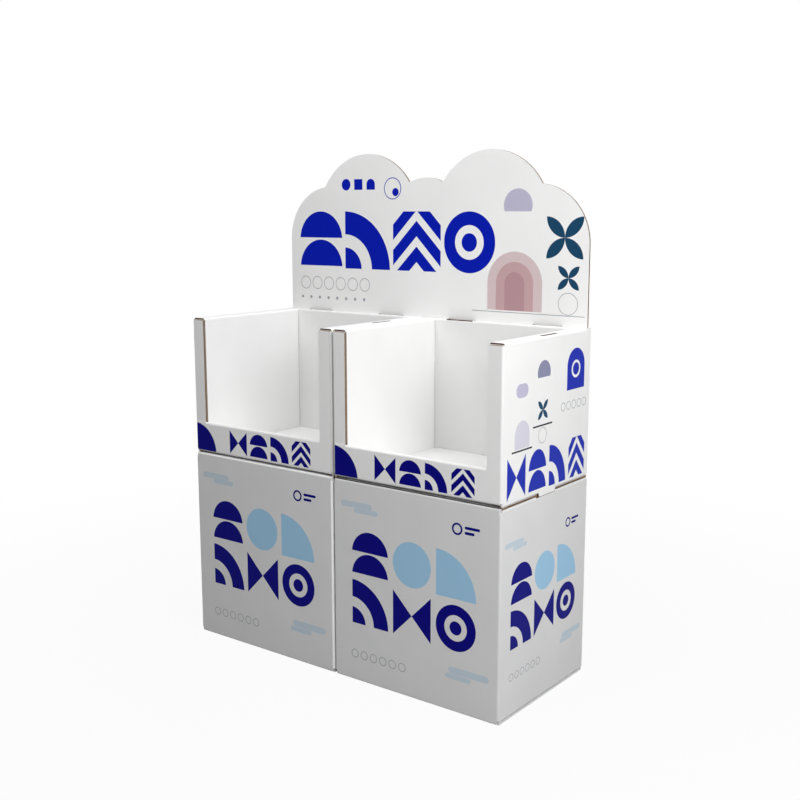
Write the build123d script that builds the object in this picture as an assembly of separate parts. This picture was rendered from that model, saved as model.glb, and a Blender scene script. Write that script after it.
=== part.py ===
from build123d import *
import os

# Cardboard display stand: two cartons side by side, a tray on each, one header card behind both.
# Millimetres. The origin is the bottom centre, X runs to the right, -Y is the front and Z is up.

os.makedirs("parts", exist_ok=True)

# Board and folds
board = 4.0
crease = 0.5
layer_gap = 0.3
trim = 1.0
fold = board + crease

# Overall sizes of a module, which is one carton with one tray
module_width = 400.0
module_depth = 330.0
module_gap = 3.0
base_height = 420.0
tray_height = 300.0

# Carton flaps and the glue flap inside its rear left corner
flap_seam = 1.0
carton_side_flap = 150.0
carton_glue_flap = 35.0

# Cross ribs inside the carton
rib_play = 1.0
rib_slot_play = 0.6
rib_corner = 8.0

# Lug under each tray wall, and the notch that takes it in the top of the carton
lug_width = 62.0
lug_drop = 6.0
lug_corner = 3.0
lug_play = 0.6
lug_room = 8.0

# Tray walls, pillars, lip and bottom flaps
wall_thickness = 32.0
rear_wall_thickness = 22.0
corner_gap = 1.0
pillar_width = 32.0
pillar_recess = 1.5
lip_height = 70.0
lip_gap = 2.0
lip_inset = 5.0
tray_side_flap = 150.0
side_flap_setback = 14.0
tray_end_flap = 110.0

# Stacking slot in the top of the right wall
stack_slot_length = 62.0
stack_slot_width = 9.0
stack_slot_inset = 10.5
stack_slot_setback = 12.0

# Tabs of the inner walls, and their slots in the tray floor
wall_tab_width = 70.0
lip_tab_width = 50.0
lip_tab_spread = 160.0
tab_corner = 1.5
tab_play = 0.6
tab_room = 10.0
floor_play = 0.6

# Header card
header_width = 794.0
header_setback = 6.0
header_straight = 165.0
shoulder_radius = 120.0
crown_radius = 144.0
crown_spread = 329.0
crown_top = 356.0
middle_radius = 108.0
middle_top = 301.5
valley_radius = 3.0
header_tab_width = 60.0
header_tab_depth = 60.0
header_tab_spread = 210.0
header_tab_corner = 8.0
header_slot_length = 68.0
header_slot_front = 7.0
header_slot_play = 0.6

# Places that follow from the sizes above
side = module_width / 2
rear = module_depth / 2
front = -rear
lip_thickness = 2 * board + lip_gap
pillar_front = front + pillar_recess
side_wall_end = rear - rear_wall_thickness - corner_gap
carton_inner_low = board + layer_gap
carton_inner_high = base_height - board - layer_gap
tray_base = base_height + layer_gap
end_flap_low = board + layer_gap
floor_low = end_flap_low + board + layer_gap
floor_high = floor_low + board
wall_low = floor_high + layer_gap
ring_low = end_flap_low + fold
ring_high = tray_height - fold


def along_x(section, left, right):
    """Extrude a section drawn in y and z, from left to right."""
    return extrude(Plane.YZ.offset(left) * section, amount=right - left)


def along_y(section, near, far):
    """Extrude a section drawn in x and z, from near the front to the rear."""
    return extrude(Plane.XZ.offset(-far) * section, amount=far - near)


def upward(section, low, high):
    """Extrude a section drawn in x and y, from low to high."""
    return extrude(Plane.XY.offset(low) * section, amount=high - low)


def span(u_low, u_high, v_low, v_high):
    """Rectangle between two limits on each of its axes."""
    middle = Pos((u_low + u_high) / 2, (v_low + v_high) / 2)
    return middle * Rectangle(u_high - u_low, v_high - v_low)


def folded(*points):
    """Section of folded board: the skin follows the points with rounded folds, the board is on its left."""
    skin = FilletPolyline(*points, radius=fold)
    return make_face(offset(skin, amount=board, side=Side.LEFT, closed=True))


def hanging_tab(centre, width, top, bottom, corner):
    """Tab outline that hangs from a top line, with its two lower corners rounded."""
    shape = span(centre - width / 2, centre + width / 2, bottom, top)
    lower = shape.vertices().group_by(Axis.Y)[0]
    return fillet(lower, corner)


def wall_ring():
    """Section of four walls folded into a ring, with rounded upright edges."""
    outside = RectangleRounded(module_width, module_depth, fold)
    return outside - RectangleRounded(module_width - 2 * board, module_depth - 2 * board, crease)


def carton_walls():
    """Four upright walls in one ring, with the glue flap inside the rear left corner."""
    glue_flap = span(board - side, carton_glue_flap - side, rear - 2 * board, rear - board)
    return upward(wall_ring() + glue_flap, carton_inner_low + fold, carton_inner_high - fold)


def carton_long_flaps():
    """Front panel folded over at the top and the bottom, with flaps as wide as the carton."""
    edge = -flap_seam / 2
    skin = folded((edge, base_height), (front, base_height), (front, 0), (edge, 0))
    panel = along_x(skin, fold - side, side - fold)
    flap = span(trim - side, side - trim, front + fold, edge)
    return panel + upward(flap, 0, board) + upward(flap, base_height - board, base_height)


def carton_side_flaps():
    """Right panel folded over at the top and the bottom, one layer inside the long flaps."""
    tip = side - carton_side_flap
    low = carton_inner_low
    high = carton_inner_high
    skin = folded((tip, low), (side, low), (side, high), (tip, high))
    return along_y(skin, front + fold, rear - fold)


def lug_notch():
    """Cut in the carton's top right edge that takes the tray's lug, longer than the lug at the front."""
    low = base_height - lug_drop - lug_play
    opening = span(-lug_width / 2 - lug_room, lug_width / 2 + lug_play, low, base_height + trim)
    return along_x(opening, side - board - lug_play, side + trim)


def base_box():
    """Closed carton folded from one sheet."""
    long_flaps = carton_long_flaps()
    side_flaps = carton_side_flaps()
    notch = lug_notch()
    box = carton_walls() + long_flaps + mirror(long_flaps, about=Plane.XZ)
    box += side_flaps + mirror(side_flaps, about=Plane.YZ)
    return box - notch - mirror(notch, about=Plane.YZ)


def rib_plate(length, slot_from_top):
    """Upright rib outline with cut corners and a slot to half its height."""
    low = carton_inner_low + board + layer_gap
    high = carton_inner_high - board - layer_gap
    middle = (low + high) / 2
    plate = span(-length / 2, length / 2, low, high)
    plate = chamfer(plate.vertices(), rib_corner)
    half_slot = (board + rib_slot_play) / 2
    if slot_from_top:
        return plate - span(-half_slot, half_slot, middle - layer_gap, high)
    return plate - span(-half_slot, half_slot, low, middle + layer_gap)


def long_rib():
    """Rib across the carton from side to side, slotted from the top."""
    plate = rib_plate(module_width - 2 * board - 2 * rib_play, True)
    return along_y(plate, -board / 2, board / 2)


def cross_rib():
    """Rib from front to rear, slotted from below, over the long rib."""
    plate = rib_plate(module_depth - 2 * board - 2 * rib_play, False)
    return along_x(plate, -board / 2, board / 2)


def front_window():
    """Cut in the front panel above the lip, up to the right pillar, and lower where the lip is folded."""
    right = side - pillar_width
    above = span(-side - trim, right, lip_height, tray_height)
    at_fold = span(pillar_width - side + trim, right, lip_height - fold, lip_height)
    return along_y(above + at_fold, front - trim, front + board)


def tray_ring():
    """Outer walls: front panel, right, rear and left walls, and the left pillar glued behind the lip."""
    section = wall_ring() - span(-side - trim, lip_inset - side, front - trim, 0)
    walls = upward(section, ring_low, tray_height) - front_window()
    pillar = folded((-side, 0), (-side, pillar_front), (pillar_width - side, pillar_front))
    ring = walls + upward(pillar, ring_low, tray_height)
    pillar_foot = span(board - side, pillar_width - side + trim, front + board, front + board + fold)
    rolled_sides = span(-side - trim, side + trim, front - trim, side_wall_end)
    rolled_rear = span(fold - side, side - fold, front - trim, rear + trim)
    ring -= upward(pillar_foot, ring_low - trim, wall_low)
    ring -= upward(rolled_sides, ring_high, tray_height + trim)
    return ring - upward(rolled_rear, ring_high, tray_height + trim)


def lip_fold():
    """Top of the front panel rolled over to a second layer that stands on the tray floor."""
    inner = front + lip_thickness
    skin = folded((inner, wall_low), (inner, lip_height), (front, lip_height), (front, ring_low))
    left = pillar_width - side + trim
    lip = along_x(skin, left, side - pillar_width - layer_gap)
    for centre in (-lip_tab_spread / 2, lip_tab_spread / 2):
        tab = hanging_tab(centre, lip_tab_width, wall_low, floor_low, tab_corner)
        lip += along_y(tab, inner - board, inner)
    return lip


def rear_fold():
    """Top of the rear wall rolled over to the inner rear wall, with slots for the header's tabs."""
    inner = rear - rear_wall_thickness
    skin = folded((rear, ring_low), (rear, tray_height), (inner, tray_height), (inner, wall_low))
    wall = along_x(skin, fold - side, side - fold)
    tab = hanging_tab(0, wall_tab_width, wall_low, floor_low, tab_corner)
    wall += along_y(tab, inner, inner + board)
    back_edge = rear - header_setback + header_slot_play
    front_edge = rear - header_setback - board - header_slot_front
    for centre in (-header_tab_spread / 2, header_tab_spread / 2):
        slot = span(centre - header_slot_length / 2, centre + header_slot_length / 2, front_edge, back_edge)
        wall -= upward(slot, tray_height - board - trim, tray_height + trim)
    return wall


def side_fold(near):
    """Top of the right wall rolled over to the inner side wall, from a front end to the rear wall."""
    inner = side - wall_thickness
    skin = folded((side, ring_low), (side, tray_height), (inner, tray_height), (inner, wall_low))
    wall = along_y(skin, near, side_wall_end)
    tab = hanging_tab(0, wall_tab_width, wall_low, floor_low, tab_corner)
    return wall + along_x(tab, inner, inner + board)


def stack_slot():
    """Slot in the top of the right wall, a little behind its middle."""
    place = Pos(side - stack_slot_inset, stack_slot_setback)
    slot = place * Rectangle(stack_slot_width, stack_slot_length)
    return upward(slot, tray_height - board - trim, tray_height + trim)


def side_bottom(near):
    """Foot of the right wall folded inwards, with the lug left standing in the wall's own plane.

    The flap is cut back at the front, behind the fold of the front panel.
    """
    skin = folded((side - tray_side_flap, 0), (side, 0), (side, ring_low + fold))
    foot = along_y(skin, near, rear - fold)
    cut_back = span(side - tray_side_flap - trim, side - fold, near - trim, near + side_flap_setback)
    gap = span(side - board - lug_drop, side + trim, -lug_width / 2 - lug_play, lug_width / 2 + lug_play)
    lug = hanging_tab(0, lug_width, ring_low + fold, -lug_drop, lug_corner)
    foot -= upward(cut_back + gap, -trim, fold)
    return foot + along_x(lug, side - board, side)


def end_bottom():
    """Foot of the front panel folded inwards, one layer above the side flaps."""
    skin = folded((front, ring_low + fold), (front, end_flap_low), (front + tray_end_flap, end_flap_low))
    return along_x(skin, lip_inset - side, side - fold)


def tray_sheet():
    """Whole tray folded from one sheet, standing at z = 0."""
    right_near = front + fold
    left_near = pillar_front + fold
    tray = tray_ring() + lip_fold() + rear_fold()
    tray += side_fold(right_near) + mirror(side_fold(left_near), about=Plane.YZ)
    tray += side_bottom(right_near) + mirror(side_bottom(left_near), about=Plane.YZ)
    return tray + end_bottom() + mirror(end_bottom(), about=Plane.XZ) - stack_slot()


def tray_floor():
    """Loose board on the bottom flaps, slotted for the tabs of the inner walls and the lip."""
    edge = board + floor_play
    floor = span(edge - side, side - edge, front + edge, rear - edge)
    slot_width = board + 2 * tab_play
    wall_slot = wall_tab_width + 2 * tab_room
    rear_slot = Rectangle(wall_slot, slot_width)
    side_slot = Rectangle(slot_width, wall_slot)
    lip_slot = Rectangle(lip_tab_width + 2 * tab_play, slot_width)
    floor -= Pos(0, rear - rear_wall_thickness + board / 2) * rear_slot
    for direction in (-1, 1):
        floor -= Pos(direction * (side - wall_thickness + board / 2), 0) * side_slot
        floor -= Pos(direction * lip_tab_spread / 2, front + lip_thickness - board / 2) * lip_slot
    return upward(floor, floor_low, floor_high)


def header_outline(foot):
    """Card with straight sides, round shoulders, two large crowns and a small one between them."""
    shoulder_height = foot + header_straight
    outline = span(-header_width / 2, header_width / 2, foot, shoulder_height)
    shoulder_x = header_width / 2 - shoulder_radius
    middle_height = foot + middle_top - middle_radius
    outline += span(-shoulder_x, shoulder_x, foot, middle_height)
    for direction in (-1, 1):
        outline += Pos(direction * shoulder_x, shoulder_height) * Circle(shoulder_radius)
        crown = Pos(direction * crown_spread / 2, foot + crown_top - crown_radius)
        outline += crown * Circle(crown_radius)
    outline += Pos(0, middle_height) * Circle(middle_radius)
    valleys = [corner for corner in outline.vertices() if corner.Y > shoulder_height + crease]
    return fillet(valleys, valley_radius)


def header_card():
    """Header cut from one sheet, with two tabs for the slots of each tray."""
    foot = tray_base + tray_height + layer_gap
    card = header_outline(foot)
    pitch = module_width + module_gap
    for module in (-pitch / 2, pitch / 2):
        for tab_side in (-header_tab_spread / 2, header_tab_spread / 2):
            low = foot - header_tab_depth
            card += hanging_tab(module + tab_side, header_tab_width, foot, low, header_tab_corner)
    return along_y(card, rear - header_setback - board, rear - header_setback)


def save(shape, name):
    """Write one piece to its own file."""
    export_step(shape, f"parts/{name}.step")


pieces = {
    "base_box": base_box(),
    "base_rib_long": long_rib(),
    "base_rib_cross": cross_rib(),
    "tray": Pos(0, 0, tray_base) * tray_sheet(),
    "tray_floor": Pos(0, 0, tray_base) * tray_floor(),
}
for place, direction in (("left", -1), ("right", 1)):
    shift = Pos(direction * (module_width + module_gap) / 2, 0, 0)
    for piece_name, shape in pieces.items():
        save(shift * shape, f"{piece_name}_{place}")
save(header_card(), "header_card")
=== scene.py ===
import bpy
import math
import numpy as np
from mathutils import Matrix, Vector

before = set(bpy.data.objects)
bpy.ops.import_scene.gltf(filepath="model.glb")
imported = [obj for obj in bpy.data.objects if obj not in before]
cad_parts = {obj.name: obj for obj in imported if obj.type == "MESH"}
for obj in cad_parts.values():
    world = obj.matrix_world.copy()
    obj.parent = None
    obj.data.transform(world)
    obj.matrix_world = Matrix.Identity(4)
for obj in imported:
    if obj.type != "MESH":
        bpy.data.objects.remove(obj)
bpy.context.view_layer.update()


# ---------------------------------------------------------------------------
# Cartons
# The stand's feet are two closed cartons, each die cut from one sheet of white clay-coated
# corrugated board and folded shut. The front and rear flaps close last, so their brown cut ends
# lie along the top side edges. Big flat motifs are printed on all four walls.
# ---------------------------------------------------------------------------
# Places and sizes in the materials are in millimetres.
module_middle = 201.5
half_width, half_depth = 200.0, 165.0
board, flute = 4.0, 7.9
skin, fold_end = 0.6, -160.4
far_off = 5000.0
carton_top = 420.0
flap_end = 198.85
notch_middle, notch_half, notch_foot, notch_reach = -3.7, 35.8, 413.0, 186.0
narrower, print_middle = 1.2, 200.0
carton_white = (0.74, 0.74, 0.74, 1)
carton_cloud = (0.70, 0.70, 0.70, 1)
fold_highlight_white = (0.95, 0.95, 0.95, 1)
kraft = (0.35, 0.235, 0.145, 1)
kraft_shade = (0.085, 0.056, 0.038, 1)
gap_shadow_black = (0.012, 0.010, 0.009, 1)
navy = (0.0015, 0.001, 0.19, 1)
sky_blue = (0.345, 0.575, 0.775, 1)
mist_blue = (0.54, 0.63, 0.70, 1)
line_grey = (0.36, 0.37, 0.40, 1)


class Tone:
    """One value in a board's shader. Sums on it add Math nodes, and add() makes any other node."""

    def __init__(self, tree, socket=None):
        self.tree = tree
        self.socket = socket

    def add(self, kind, settings, inputs, output=0):
        """A node of one kind: its settings first, then the values or links of its sockets."""
        node = self.tree.nodes.new(kind)
        for name, value in settings.items():
            setattr(node, name, value)
        for name, value in inputs.items():
            if isinstance(value, Tone):
                self.tree.links.new(value.socket, node.inputs[name])
            else:
                node.inputs[name].default_value = value
        return Tone(self.tree, node.outputs[output] if node.outputs else None)

    def other(self, output):
        """Another output of the node that this value comes from."""
        return Tone(self.tree, self.socket.node.outputs[output])

    def math(self, operation, *values, clamp=False):
        settings = {"operation": operation, "use_clamp": clamp}
        return self.add("ShaderNodeMath", settings, dict(enumerate((self, *values))))

    def __add__(self, value):
        return self.math("ADD", value)

    __radd__ = __add__

    def __mul__(self, value):
        return self.math("MULTIPLY", value)

    __rmul__ = __mul__

    def __sub__(self, value):
        return self.math("SUBTRACT", value)

    def __rsub__(self, value):
        return self.add("ShaderNodeMath", {"operation": "SUBTRACT"}, {0: value, 1: self})

    def __truediv__(self, value):
        return self.math("DIVIDE", value)

    def __gt__(self, value):
        return self.math("GREATER_THAN", value)

    def __lt__(self, value):
        return self.math("LESS_THAN", value)

    def __abs__(self):
        return self.math("ABSOLUTE")

    def least(self, value):
        return self.math("MINIMUM", value)

    def most(self, value):
        return self.math("MAXIMUM", value)

    def wrap(self, high, low=0.0):
        return self.math("WRAP", high, low)

    def over(self, below, above):
        """Colour `above` laid over colour `below`, this value being its share."""
        return self.add("ShaderNodeMix", {"data_type": "RGBA"}, {0: self, 6: below, 7: above}, 2)


def new_board(name):
    """An empty material for one kind of board, and the point's place on it in millimetres."""
    material = bpy.data.materials.new(name)
    material.use_nodes = True
    material.node_tree.nodes.clear()
    point = Tone(material.node_tree).add("ShaderNodeTexCoord", {}, {}, "Object")
    settings = {"operation": "SCALE"}
    return material, point.add("ShaderNodeVectorMath", settings, {0: point, "Scale": 1000.0})


def axes(point):
    """The place as x, y, z, then the direction of the face as x, y, z."""
    x = point.add("ShaderNodeSeparateXYZ", {}, {0: point}, "X")
    facing = point.add("ShaderNodeNewGeometry", {}, {}, "True Normal")
    across = point.add("ShaderNodeSeparateXYZ", {}, {0: facing}, "X")
    return x, x.other("Y"), x.other("Z"), across, across.other("Y"), across.other("Z")


def noise(point, size, detail=1.0):
    """Soft noise about zero with blotches of `size` millimetres."""
    inputs = {"Vector": point, "Scale": 1.0 / size, "Detail": detail, "Roughness": 0.5}
    return point.add("ShaderNodeTexNoise", {}, inputs, "Fac") - 0.5


def coating(point, size, contrast, cloud, white):
    """Colour of the coated face: white with faint clouds, which are noise of one size."""
    return (noise(point, size) * contrast + 0.5).over(cloud, white)


def flute_relief(point, run):
    """Height in millimetres of a liner over its flutes: a faint sine along `run`, a slow bow of
    the whole panel, a few soft dents and the paper's fibres, the last three being noise."""
    ribbing = (run * (math.tau / flute)).math("SINE") * 0.014
    bow = noise(point, 230.0) * 2.4
    dents = noise(point, 45.0) * 0.1
    fibres = noise(point, 1.8) * 0.014
    return ribbing + bow + dents + fibres


def cut_edge(point, run, depth):
    """Colour of board cut through. `depth` runs over its thickness: a liner at each side, and
    between them the fluted paper as a sine along `run`, with shade in the hollows."""
    middle = depth - board / 2
    wave = (run * (math.tau / flute)).math("SINE") * 1.3 + noise(point, 9.0) * 0.9
    paper = (abs(middle - wave) < 0.45).most(abs(middle) > 1.55)
    worn = (noise(point, 4.0) + 0.95).least(1.0)
    return (paper * worn).over(kraft_shade, kraft)


def span(x, y, cx=0.0, cy=0.0):
    """Distance from a point."""
    dx = x - cx
    dy = y - cy
    return (dx * dx + dy * dy).math("SQRT")


def disc(x, y, cx, cy, radius):
    """Distance into a disc: its radius less the distance from its centre."""
    return radius - span(x, y, cx, cy)


def block(x, y, cx, cy, half_wide, half_high):
    """Distance into a rectangle: the lesser of the distances to its sides."""
    return (half_wide - abs(x - cx)).least(half_high - abs(y - cy))


def pill(x, y, cx, cy, half_length, radius):
    """Distance into a bar with round ends: its radius less the distance from its middle line."""
    beyond = (abs(x - cx) - (half_length - radius)).most(0.0)
    return disc(beyond, y, 0.0, cy, radius)


def ring(x, y, cx, cy, radius, width):
    """Distance into a ring: half its width less the distance from its circle."""
    return width / 2 - abs(span(x, y, cx, cy) - radius)


def arch(x, y, cx, foot, spring, radius):
    """Distance into an arch: a disc at the height of its spring, and a block under it."""
    legs = block(x, y, cx, (foot + spring) / 2, radius, (spring - foot) / 2)
    return disc(x, y, cx, spring, radius).least(y - foot).most(legs)


def petals(x, y, cx, cy, radius):
    """Distance into four petals round a point. The plane is folded over its middle lines, and a
    petal is where a disc beside the point and one above it overlap."""
    fold_x = abs(x - cx)
    fold_y = abs(y - cy)
    return disc(fold_x, fold_y, radius, 0.0, radius).least(disc(fold_x, fold_y, 0.0, radius, radius))


def ring_row(x, y, left, cy, count, pitch, radius, width):
    """Distance into a row of equal rings: x is first wrapped into one pitch."""
    nearest = (x - left).wrap(pitch / 2, -pitch / 2)
    row = block(x, y, left + (count - 1) * pitch / 2, cy, count * pitch / 2, radius + width)
    return ring(nearest, y, 0.0, cy, radius, width).least(row)


def motifs(x, y, left, low, size, gap, order, rows=1):
    """Distance into a grid of square motifs, which `order` names row by row from the lowest.
    Each is worked out in a square whose half side is 1, from the distances to its centre, its
    middle lines and its lower left corner."""
    pitch = size + gap
    columns = len(order) // rows
    column = ((x - left) / pitch).math("FLOOR")
    row = ((y - low) / pitch).math("FLOOR")
    a = (x - left).wrap(pitch) * (2 / size) - 1.0
    b = (y - low).wrap(pitch) * (2 / size) - 1.0
    corner = span(a, b, -1.0, -1.0)
    centre = span(a, b)
    level = b.wrap(1.0)
    rise = b + abs(a)
    slope = rise.wrap(0.86) - 0.43
    shapes = {
        "quarters": (2.0 - corner).least(corner - 1.2).most(0.74 - corner),
        "domes": (1.0 - span(a, level)).least(level - 0.07),
        "target": (1.0 - centre).least(centre - 0.56).most(0.3 - centre),
        "bow": (abs(a) - abs(b)) * 0.7,
        "roofs": (0.26 - abs(slope)).least(1.7 - rise) * 0.7,
        "disc": 1.0 - centre,
        "fan": 2.0 - corner,
    }
    number = column + row * columns
    total = (1.0 - abs(a)).least(1.0 - abs(b))
    chosen = -1.0
    for place, name in enumerate(order):
        if name:
            chosen = number.math("COMPARE", float(place), 0.25) * (shapes[name] + 1.0) + chosen
    wide = columns * pitch / 2
    high = rows * pitch / 2
    grid = block(x, y, left + wide - gap / 2, low + high - gap / 2, wide, high)
    return (total.least(chosen) * (size / 2)).least(grid)


def inked(*shapes):
    """Share of ink from the distances into some shapes: an edge turns over in half a millimetre."""
    whole = shapes[0]
    for shape in shapes[1:]:
        whole = whole.most(shape)
    return whole.math("MULTIPLY_ADD", 2.0, 0.5, clamp=True)


def finish_board(point, colour, cut, relief):
    """Closes a board's material: the coated face has a soft gloss, the cut edges have none."""
    sockets = {"Strength": 1.0, "Distance": 0.001, "Height": relief}
    bump = point.add("ShaderNodeBump", {}, sockets)
    sockets = {
        "Base Color": colour,
        "Roughness": cut * 0.45 + 0.45,
        "Specular IOR Level": 0.05,
        "Normal": bump,
    }
    surface = point.add("ShaderNodeBsdfPrincipled", {}, sockets)
    point.add("ShaderNodeOutputMaterial", {}, {"Surface": surface})


def dress(node, material):
    """Gives a CAD node its finish."""
    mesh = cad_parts[node].data
    mesh.materials.clear()
    mesh.materials.append(material)


def carton_board():
    """White board with motifs on the walls. A wall's own left to right is `along`: x on the
    front, -x on the rear, y on the right side and -y on the left one. The sides take the same
    print a sixth smaller, because they are narrower. Off the walls `along` is far outside it."""
    material, point = new_board("printed_carton_board")
    x, y, z, nx, ny, nz = axes(point)
    middle = x - x.math("SIGN") * module_middle
    out = abs(middle)
    side = (out > half_width - skin) * (abs(nx) > 0.5)
    front = (abs(y) > half_depth - skin) * (abs(ny) > 0.5)
    side_along = middle.math("SIGN") * y * narrower
    front_along = y.math("SIGN") * middle * -1.0
    along = side * side_along + front * front_along + (1.0 - side.most(front)) * far_off
    up = side * (z - print_middle) * (narrower - 1.0) + z

    # A highlight is painted on the left carton's front folds, along its top and by the seam.
    colour = coating(point, 80.0, 1.4, carton_cloud, carton_white)
    near_fold = y < fold_end
    painted_fold_highlight = (x < 0.0) * (x > -5.6).most(z > carton_top - 3.0) * near_fold
    colour = painted_fold_highlight.over(colour, fold_highlight_white)

    banks = inked(
        pill(along, up, -140.0, 372.0, 40.0, 6.0),
        pill(along, up, -116.0, 361.0, 30.0, 5.0),
        pill(along, up, 132.0, 84.0, 46.0, 7.0),
        pill(along, up, 108.0, 71.0, 30.0, 5.0),
    )
    colour = banks.over(colour, mist_blue)
    grid = (along, up, -152.0, 124.0, 92.0, 12.0)
    blue = motifs(*grid, ["", "", "", "", "disc", "fan"], rows=2)
    colour = inked(blue).over(colour, sky_blue)
    dark = motifs(*grid, ["quarters", "bow", "target", "domes", "", ""], rows=2)
    dark = inked(
        dark,
        ring(along, up, 104.0, 366.0, 10.0, 4.0),
        pill(along, up, 138.0, 371.0, 17.0, 2.8),
        pill(along, up, 132.0, 361.0, 11.0, 2.8),
    )
    colour = dark.over(colour, navy)
    rings = ring_row(along, up, -146.0, 58.0, 6, 24.0, 8.5, 1.6)
    colour = inked(rings).over(colour, line_grey)

    # The flaps' ends and the notches are cut board with painted shade on the notches' ends, and a
    # shadow is painted on the right carton's front fold under the gap.
    ends = (abs(out - flap_end) < 0.45) * (abs(nx) > 0.5) * (z > carton_top - 4.2)
    notch = (abs(y - notch_middle) < notch_half) * (out > notch_reach)
    notch = notch * (z > notch_foot) * (z < carton_top - 0.2)
    cut = ends.most(notch)
    depth = notch * (half_width - out) + ends * (z - (carton_top - board))
    colour = cut.over(colour, cut_edge(point, y * (notch + 0.08), depth))
    colour = (notch * (abs(ny) > 0.5)).over(colour, kraft_shade)
    painted_gap_shadow = (x > 0.0) * (z > carton_top - 1.1) * near_fold
    colour = painted_gap_shadow.over(colour, gap_shadow_black)
    finish_board(point, colour, cut, flute_relief(point, side * y + front * x))
    return material


carton_finish = carton_board()
for place in ("left", "right"):
    dress(f"base_box_{place}", carton_finish)


# ---------------------------------------------------------------------------
# Ribs
# Two strips of plain kraft board stand crosswise in each carton and slot into each other.
# They carry the tray's load, and the closed carton hides them.
# ---------------------------------------------------------------------------
rib_kraft = (0.44, 0.30, 0.185, 1)
rib_fibre = (0.33, 0.22, 0.13, 1)


def bare_liner(point):
    """Colour of kraft liner: its darker fibres are noise drawn out up the sheet."""
    sockets = {0: point, 1: (1.0, 1.0, 0.12)}
    stretched = point.add("ShaderNodeVectorMath", {"operation": "MULTIPLY"}, sockets)
    return (noise(stretched, 2.5) * 2.4 + 0.5).over(rib_fibre, rib_kraft)


def rib_board():
    """Bare kraft liner, cut along its top and bottom."""
    material, point = new_board("kraft_rib_board")
    x, y, z, nx, ny, nz = axes(point)
    cut = abs(nz) > 0.5
    colour = cut.over(bare_liner(point), cut_edge(point, x + y, (x + y).wrap(board)))
    finish_board(point, colour, cut, flute_relief(point, x + y))
    return material


rib_finish = rib_board()
for place in ("left", "right"):
    dress(f"base_rib_long_{place}", rib_finish)
    dress(f"base_rib_cross_{place}", rib_finish)


# ---------------------------------------------------------------------------
# Trays
# Each tray is one die-cut sheet of whiter coated board: the side and rear walls roll over into
# hollow double walls, the front has a low lip between two pillars, and a lug under each side
# wall drops into the carton. The lips and the outer side walls are printed.
# ---------------------------------------------------------------------------
tray_white = (0.885, 0.885, 0.88, 1)
tray_cloud = (0.85, 0.85, 0.845, 1)
ultramarine = (0.018, 0.034, 0.41, 1)
lilac = (0.51, 0.49, 0.64, 1)
pale_lilac = (0.66, 0.65, 0.74, 1)
deep_teal = (0.011, 0.059, 0.127, 1)
slate = (0.25, 0.255, 0.38, 1)
shelf_black = (0.02, 0.02, 0.025, 1)
seam_shade_grey = (0.60, 0.60, 0.595, 1)
tray_foot, tray_rim, pillar_top, lip_top = 420.3, 720.3, 715.8, 490.3
inside = half_width - board
pillar_edge, pillar_back, lip_edge = 168.0, -156.8, 195.0
hollow_side, hollow_rear, hollow_top = 171.9, 146.9, 716.5
roll_end, roll_half, roll_low = -156.0, 6.0, 717.5
stacking_slot, stacking_half, stacking_middle, stacking_reach = 189.5, 5.4, 12.0, 33.0
header_slot, header_half, slot_foot = 153.8, 6.2, 712.0
shaded_slot_middle, shaded_slot_half, shaded_slot_line = 96.5, 33.5, 145.4
row_left, row_low, side_left, side_low = -93.0, 430.0, -147.0, 428.0
wider, taller = 1.25, 1.55


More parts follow.
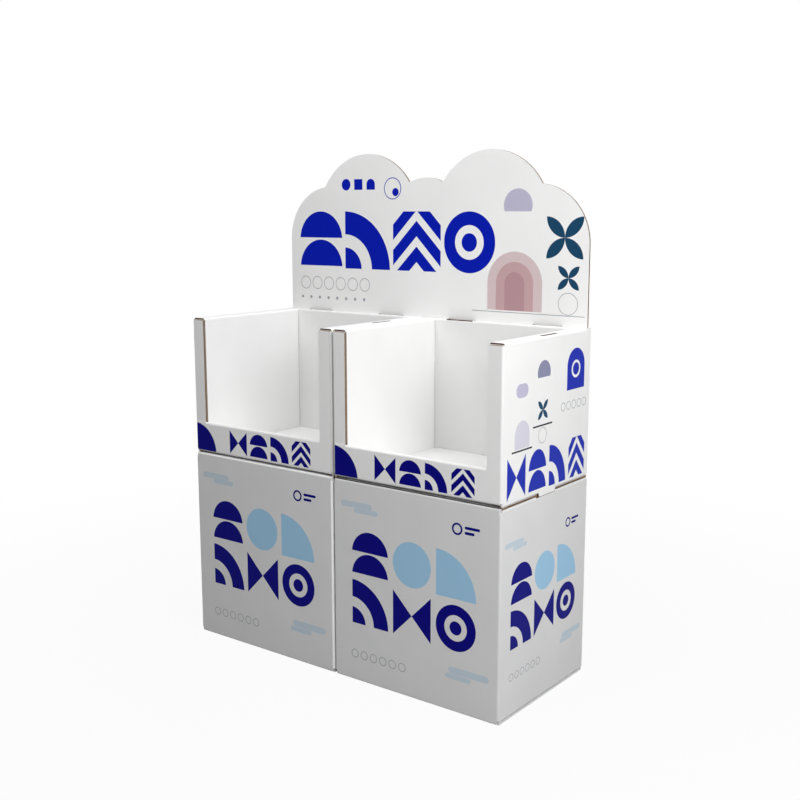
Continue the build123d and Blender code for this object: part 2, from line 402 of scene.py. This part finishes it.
def tray_board():
    """Whiter board. `along` is a wall's own left to right as on the cartons. The sides take the
    lip's row of motifs wider and taller, and carry small scattered motifs above it."""
    material, point = new_board("printed_tray_board")
    x, y, z, nx, ny, nz = axes(point)
    middle = x - x.math("SIGN") * module_middle
    out = abs(middle)
    side = (out > half_width - skin) * (abs(nx) > 0.5)
    front = (y < skin - half_depth) * (ny < -0.5)
    walk = middle.math("SIGN") * y
    along = side * ((walk - side_left) / wider + row_left) + front * middle
    along = (1.0 - side.most(front)) * far_off + along
    up = side * ((z - side_low) / taller + row_low) + front * z
    walk = (1.0 - side) * far_off + walk

    colour = coating(point, 80.0, 1.4, tray_cloud, tray_white)
    # Shade is painted on the left tray's right front fold, by the seam between the trays.
    painted_seam_shade = (x < 0.0) * (x > -5.2) * (y < fold_end)
    colour = painted_seam_shade.over(colour, seam_shade_grey)
    row = motifs(along, up, row_left, row_low, 52.0, 9.0, ["bow", "domes", "quarters", "roofs"])
    badge = disc(along, up, -half_width, 424.0, 64.0)
    colour = (inked(row, badge) * (1.0 - side)).over(colour, navy)
    tag = arch(walk, z, 104.0, 606.0, 652.0, 35.0).least(0.0 - ring(walk, z, 104.0, 646.0, 15.0, 5.2))
    colour = (inked(row, tag) * side).over(colour, ultramarine)
    half_sun = disc(walk, z, -20.0, 652.0, 24.0).least(z - 644.0)
    colour = inked(half_sun).over(colour, slate)
    pebble = pill(walk, z, -98.0, 628.0, 21.0, 13.0)
    colour = inked(pebble).over(colour, lilac)
    doorway = arch(walk, z, -96.0, 520.0, 546.0, 26.0)
    colour = inked(doorway).over(colour, pale_lilac)
    bloom = petals(walk, z, -22.0, 582.0, 18.0)
    colour = inked(bloom).over(colour, deep_teal)
    shelves = inked(block(walk, z, -96.0, 516.5, 36.0, 1.6), block(walk, z, -22.0, 552.5, 36.0, 1.6))
    colour = shelves.over(colour, shelf_black)
    rings = ring_row(walk, z, 56.0, 576.0, 5, 21.0, 8.0, 1.4)
    rings = inked(rings, ring(walk, z, -22.0, 533.0, 15.0, 1.2))
    colour = rings.over(colour, line_grey)

    # Cut board shows on the pillars' tops, the lip's left end, the rear corners of the rim, the
    # glued pillar's edge and the lugs.
    facing_up = nz > 0.5
    upright = 1.0 - (abs(nz) > 0.5)
    tops = facing_up * (abs(z - pillar_top) < 0.6)
    lip_end = (abs(middle + lip_edge) < 0.4) * (nx < -0.5) * (z < lip_top + 0.2)
    corner = facing_up * (z > tray_rim - 0.4) * (out > inside - 0.4) * (y > half_depth - 3.8)
    pillar_end = (nx > 0.5) * (abs(middle + pillar_edge) < 0.4) * (y < pillar_back)
    lug = (z < tray_foot - 0.1) * (out > inside - 0.2) * (1.0 - (abs(nx) > 0.5))

    # Shade is painted on the front ends of the rolled tops, in the slots, and along the fold by one
    # header slot.
    band = (ny < -0.5) * (z > roll_low) * (abs(y - roll_end) < roll_half)
    slot = (abs(middle - stacking_slot) < stacking_half) * (abs(y - stacking_middle) < stacking_reach)
    slot = slot.most((abs(y - header_slot) < header_half) * (out < 160.0)) * (z > slot_foot) * upright
    painted_slot_shade = (abs(x - shaded_slot_middle) < shaded_slot_half) * (abs(y - shaded_slot_line) < 2.6) * (z > 718.4)
    shaded = band.most(slot).most(painted_slot_shade)
    cut = tops.most(lip_end).most(corner).most(pillar_end).most(lug).most(shaded)
    depth = lug * (half_width - out) + (1.0 - lug) * (half_depth - abs(y)).wrap(board)
    colour = cut.over(colour, cut_edge(point, facing_up.most(lug) * (x + y), depth))

    # The hollow walls are bare kraft inside, and a shadow is painted on the right tray's foot along
    # its gap.
    hollow = (out > hollow_side).most(y > hollow_rear) * (out < inside + 0.1)
    hollow = hollow * (abs(y) < half_depth - board + 0.1) * (z < hollow_top)
    colour = hollow.most(tops).over(colour, kraft)
    colour = shaded.over(colour, kraft_shade)
    painted_gap_shadow = (x > 0.0) * (z > tray_foot - 0.1) * (z < tray_foot + 1.4) * (y < fold_end)
    colour = painted_gap_shadow.over(colour, gap_shadow_black)
    across = abs(nx) > 0.5
    finish_board(point, colour, cut, flute_relief(point, across * y + (1.0 - across) * x))
    return material


tray_finish = tray_board()
for place in ("left", "right"):
    dress(f"tray_{place}", tray_finish)


# ---------------------------------------------------------------------------
# Tray floors
# A loose board lies on the bottom flaps of each tray. The tabs of the rolled walls drop through
# the slots near its edges and lock the walls upright.
# ---------------------------------------------------------------------------
floor_white = (0.86, 0.86, 0.85, 1)
floor_cloud = (0.82, 0.82, 0.81, 1)
floor_top = 432.9


def floor_board():
    """Plain white board, brown all round where it is cut."""
    material, point = new_board("white_floor_board")
    x, y, z, nx, ny, nz = axes(point)
    colour = coating(point, 60.0, 2.0, floor_cloud, floor_white)
    cut = abs(nz) < 0.5
    colour = cut.over(colour, cut_edge(point, x, floor_top - z))
    finish_board(point, colour, cut, flute_relief(point, x))
    return material


floor_finish = floor_board()
for place in ("left", "right"):
    dress(f"tray_floor_{place}", floor_finish)


# ---------------------------------------------------------------------------
# Header card
# One flat board with a rounded, humped top edge stands in the slots of both rear walls and ties
# the modules together. Its front is coated and printed, and its rear is bare kraft liner.
# ---------------------------------------------------------------------------
header_white = (0.94, 0.94, 0.935, 1)
header_cloud = (0.91, 0.91, 0.905, 1)
header_front = 155.0
header_blue = (0.002, 0.012, 0.43, 1)
rose_light = (0.68, 0.55, 0.56, 1)
rose = (0.57, 0.37, 0.39, 1)
rose_deep = (0.48, 0.29, 0.315, 1)


def header_board():
    """White face printed with a row of big motifs, arches, petals and thin grey lines, and a
    rear of bare liner."""
    material, point = new_board("printed_header_board")
    x, y, z, nx, ny, nz = axes(point)
    colour = coating(point, 90.0, 1.4, header_cloud, header_white)

    half_sun = disc(x, z, 232.0, 962.0, 34.0).least(z - 950.0)
    colour = inked(half_sun).over(colour, lilac)
    for radius, shade in ((66.0, rose_light), (45.0, rose), (24.0, rose_deep)):
        colour = inked(arch(x, z, 226.0, 746.0, 802.0, radius)).over(colour, shade)
    blooms = inked(petals(x, z, 342.0, 898.0, 42.0), petals(x, z, 352.0, 818.0, 24.0))
    colour = blooms.over(colour, deep_teal)
    blue = inked(
        motifs(x, z, -369.0, 820.0, 130.0, 9.0, ["domes", "quarters", "roofs", "target"]),
        disc(x, z, -226.0, 1010.0, 13.0),
        block(x, z, -190.0, 1010.0, 12.0, 12.0),
        arch(x, z, -154.0, 998.0, 1010.0, 12.0),
        ring(x, z, -92.0, 1000.0, 23.0, 2.0),
        disc(x, z, -84.0, 992.0, 9.0),
    )
    colour = blue.over(colour, header_blue)
    lines = inked(
        ring_row(x, z, -353.0, 784.0, 6, 36.0, 14.5, 1.4),
        ring_row(x, z, -364.0, 750.0, 8, 27.0, 0.0, 7.0),
        block(x, z, 256.0, 742.0, 134.0, 0.8),
        ring(x, z, 352.0, 766.0, 22.0, 1.3),
    )
    colour = lines.over(colour, line_grey)

    rear = ny > 0.5
    colour = rear.over(colour, bare_liner(point))
    cut = abs(ny) < 0.5
    colour = cut.over(colour, cut_edge(point, x, y - header_front))
    finish_board(point, colour, cut.most(rear), flute_relief(point, x))
    return material


dress("header_card", header_board())


# ---------------------------------------------------------------------------
# Floor, light and camera
# A plain white floor that keeps the stand's shadow, a strong soft lamp above the stand's right
# with four weaker ones round it, and the camera at the photograph's place.
# ---------------------------------------------------------------------------
floor_half = 8.0
floor_paint = (0.50, 0.50, 0.50, 1)
plain_white = (1, 1, 1, 1)
shadow_share, shadow_half, shadow_fade = 0.06, 0.5, 0.8
room_light = 0.15
aimed_at = Vector((0.0, 0.0, 0.55))
camera_place = (1.42446, -1.80947, 0.95222)


def ground(half, count):
    """A level square on a grid: x and y run from -half to half, z is nought."""
    run = np.linspace(-half, half, count)
    x, y = np.meshgrid(run, run, indexing="ij")
    places_on = np.stack([x, y, np.zeros_like(x)], axis=-1).reshape(-1, 3)
    corner = (np.arange(count - 1)[:, None] * count + np.arange(count - 1)).ravel()
    faces = np.stack([corner, corner + count, corner + count + 1, corner + 1], axis=-1)
    mesh = bpy.data.meshes.new("ground")
    mesh.from_pydata(places_on.tolist(), [], faces.tolist())
    return mesh


def seen(start):
    """1 where a surface is seen by the camera, directly or in gloss or glass."""
    direct = start.add("ShaderNodeLightPath", {}, {}, "Is Camera Ray")
    return direct.most(direct.other("Is Glossy Ray")).most(direct.other("Is Transmission Ray"))


def ground_finish():
    """Paint that takes the stand's light, and for the camera a white glow over it. The glow is
    full far off, and lets a little of the shaded paint through round the stand."""
    material = bpy.data.materials.new("ground_white")
    material.use_nodes = True
    material.node_tree.nodes.clear()
    start = Tone(material.node_tree)
    paint = start.add("ShaderNodeBsdfDiffuse", {}, {"Color": floor_paint})
    glow = start.add("ShaderNodeEmission", {}, {"Color": plain_white, "Strength": 1.0})
    point = start.add("ShaderNodeTexCoord", {}, {}, "Object")
    x = start.add("ShaderNodeSeparateXYZ", {}, {0: point}, "X")
    away = (span(x, x.other("Y")) - shadow_half).math("MULTIPLY", shadow_fade, clamp=True)
    share = seen(start) * (away * shadow_share + (1.0 - shadow_share))
    mixed = start.add("ShaderNodeMixShader", {}, {0: share, 1: paint, 2: glow})
    start.add("ShaderNodeOutputMaterial", {}, {"Surface": mixed})
    return material


ground_mesh = ground(floor_half, 9)
ground_mesh.materials.append(ground_finish())
ground_piece = bpy.data.objects.new("ground", ground_mesh)
bpy.context.scene.collection.objects.link(ground_piece)

world = bpy.data.worlds.new("studio")
bpy.context.scene.world = world
world.use_nodes = True
world.node_tree.nodes.clear()
start = Tone(world.node_tree)
room = start.add("ShaderNodeBackground", {}, {"Color": plain_white, "Strength": room_light})
white = start.add("ShaderNodeBackground", {}, {"Color": plain_white, "Strength": 1.0})
mixed = start.add("ShaderNodeMixShader", {}, {0: seen(start), 1: room, 2: white})
start.add("ShaderNodeOutputWorld", {}, {"Surface": mixed})


def softbox(name, place, size, power):
    """A round soft lamp turned to the middle of the stand: place and size in metres, power in
    watts. The camera doesn't see it."""
    lamp = bpy.data.lights.new(name, "AREA")
    lamp.shape = "DISK"
    lamp.size = size
    lamp.energy = power
    holder = bpy.data.objects.new(name, lamp)
    holder.location = place
    holder.rotation_mode = "QUATERNION"
    aim = aimed_at - Vector(place)
    holder.rotation_quaternion = aim.to_track_quat("-Z", "Y")
    holder.visible_camera = False
    bpy.context.scene.collection.objects.link(holder)


softbox("key", (1.5, -0.1, 2.6), 1.5, 29.5)
softbox("ceiling", (0.0, -0.1, 2.9), 1.8, 10.0)
softbox("side_fill", (1.6, -0.9, 1.4), 0.8, 10.9)
softbox("low_fill", (1.5, -0.7, 0.9), 0.9, 5.2)
softbox("front_fill", (-0.4, -1.2, 2.2), 1.2, 12.5)

yaw, pitch, roll = (math.radians(angle) for angle in (-37.298, -9.767, -0.0716))
forward = Vector((math.sin(yaw) * math.cos(pitch), math.cos(yaw) * math.cos(pitch), math.sin(pitch)))
level = Vector((math.cos(yaw), -math.sin(yaw), 0.0))
upright = level.cross(forward)
camera = bpy.data.cameras.new("camera")
camera.sensor_width = 36.0
camera.lens = 49.577
camera_holder = bpy.data.objects.new("camera", camera)
turn = Matrix((
    level * math.cos(roll) + upright * math.sin(roll),
    upright * math.cos(roll) - level * math.sin(roll),
    -forward,
)).transposed()
camera_holder.matrix_world = Matrix.Translation(camera_place) @ turn.to_4x4()
bpy.context.scene.collection.objects.link(camera_holder)
bpy.context.scene.camera = camera_holder
bpy.context.scene.view_settings.view_transform = "Standard"
